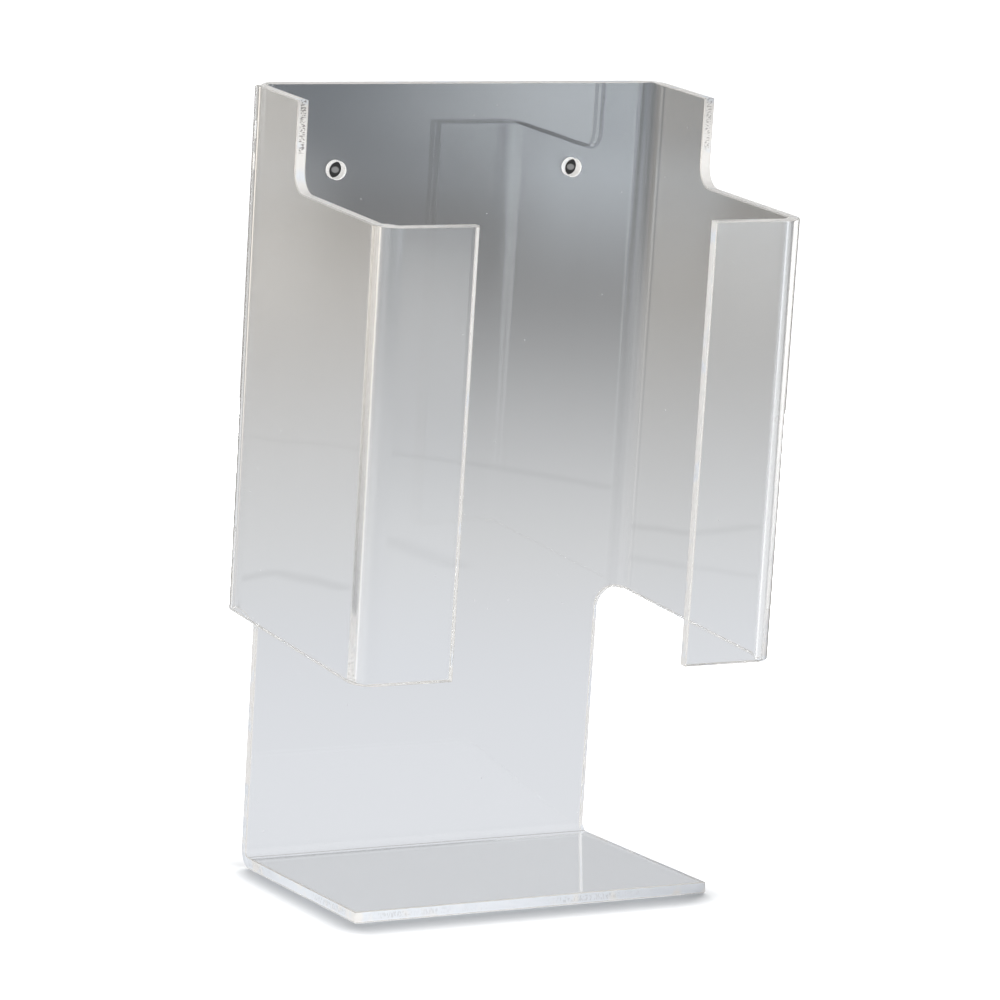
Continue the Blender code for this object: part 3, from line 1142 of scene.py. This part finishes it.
def lay_floor():
    """A wide disc of paper under the holder."""
    disc = bmesh.new()
    bmesh.ops.create_circle(disc, cap_ends=True, radius=FLOOR_RADIUS, segments=FLOOR_SEGMENTS)
    mesh = bpy.data.meshes.new("studio_floor")
    disc.to_mesh(mesh)
    disc.free()
    floor = bpy.data.objects.new("studio_floor", mesh)
    floor.location.z = -FLOOR_GAP
    mesh.materials.append(floor_paper())
    bpy.context.scene.collection.objects.link(floor)
    return floor


floor = lay_floor()
print("floor:", len(floor.data.materials[0].node_tree.nodes), "nodes, radius", FLOOR_RADIUS, "m")

# %% [markdown]
# ## The world
#
# Above the horizon the same plan holds: white to the camera, a bright
# front and a grey rear to the sheet, and one plain level to the rest.

# %% World
ROOM_COLOUR = (0.97, 0.985, 1.0, 1.0)
FRONT_ROOM = 1.25
REAR_ROOM = 0.47
PLAIN_ROOM = 0.5
WORLD_TURN = (-0.1, 0.4)


def studio_world():
    """White to the camera, a bright front and grey rear to the sheet, plain to the rest."""
    world = bpy.data.worlds.new("studio_world")
    g = empty_graph(world)
    rays = g.node("ShaderNodeLightPath")
    heading = g.wire("ShaderNodeTexCoord", None, None, output="Generated")
    rearness = g.split(heading)[1]
    frontness = g.smooth(0.0 - rearness, *WORLD_TURN) * mirrored_rays(g, rays)
    studio = REAR_ROOM + (FRONT_ROOM - REAR_ROOM) * frontness
    level = PLAIN_ROOM + sheet_rays(g, rays) * (studio - PLAIN_ROOM)
    room = g.wire("ShaderNodeBackground", None, {"Color": ROOM_COLOUR, "Strength": level})
    white = g.wire("ShaderNodeBackground", None, {"Color": WHITE, "Strength": 1.0})
    g.node("ShaderNodeOutputWorld", None,
           {"Surface": g.mix(Wire(g, rays.outputs["Is Camera Ray"]), room, white)})
    bpy.context.scene.world = world


studio_world()
bpy.context.scene.view_settings.view_transform = "Standard"
print("world:", len(bpy.context.scene.world.node_tree.nodes), "nodes")

# %% [markdown]
# ## Lamps and light paths
#
# Three broad softboxes light the sheet's worked edges at a plain level.
# Only the top one shows in the polished faces, because the studio painted
# above already stands for the other reflections. A clear sheet also needs
# patience: a ray that enters an edge is mirrored many times inside before
# it leaves, so the allowed number of bounces goes up.

# %% Lamps
INSIDE_BOUNCES = 32


def hang_lamp(name, place, size, power, mirrored):
    """A rectangular softbox in white light, aimed at the middle of the holder."""
    light = bpy.data.lights.new(name, "AREA")
    light.shape = "RECTANGLE"
    light.size, light.size_y = size
    light.energy = power
    lamp = bpy.data.objects.new(name, light)
    lamp.location = place
    lamp.rotation_euler = (VIEW_TARGET - lamp.location).to_track_quat("-Z", "Y").to_euler()
    lamp.visible_glossy = mirrored
    lamp.visible_transmission = False
    bpy.context.scene.collection.objects.link(lamp)
    return lamp


rear_softbox = hang_lamp("rear_softbox", place=(0.55, 1.15, 0.45), size=(1.4, 0.8), power=14.0,
                         mirrored=False)
top_softbox = hang_lamp("top_softbox", place=(0.0, 0.3, 1.5), size=(1.2, 1.2), power=8.0,
                        mirrored=True)
front_softbox = hang_lamp("front_softbox", place=(-1.2, -1.2, 0.45), size=(1.4, 0.9), power=20.0,
                          mirrored=False)
softboxes = [rear_softbox, top_softbox, front_softbox]
print("softboxes:", [lamp.data.energy for lamp in softboxes], "W")

# %% [markdown]
# ## The shadow at the foot
#
# The foot is only as thick as the sheet, so light from above leaves hardly
# any shadow. The photograph has a soft one along the front and the left,
# from a light that skims the table from behind. A low lamp gives it. With
# light linking it lights the paper alone, so the sheet stays at its plain
# level while its edges still block this lamp. The softboxes are linked to
# the sheet alone in the same way, so they lay no second shadow.

# %% Skimming lamp
skimming = hang_lamp("skimming_lamp", place=(0.5, 1.0, 0.16), size=(1.2, 0.26), power=95.0,
                     mirrored=False)
paper_only = bpy.data.collections.new("paper_only")
paper_only.objects.link(floor)
skimming.light_linking.receiver_collection = paper_only
sheet_only = bpy.data.collections.new("sheet_only")
sheet_only.objects.link(sheet)
for lamp in softboxes:
    lamp.light_linking.receiver_collection = sheet_only
paths = bpy.context.scene.cycles
paths.max_bounces = INSIDE_BOUNCES
paths.transmission_bounces = INSIDE_BOUNCES
paths.glossy_bounces = INSIDE_BOUNCES
print("skimming lamp:", skimming.data.energy, "W, bounces:", INSIDE_BOUNCES)
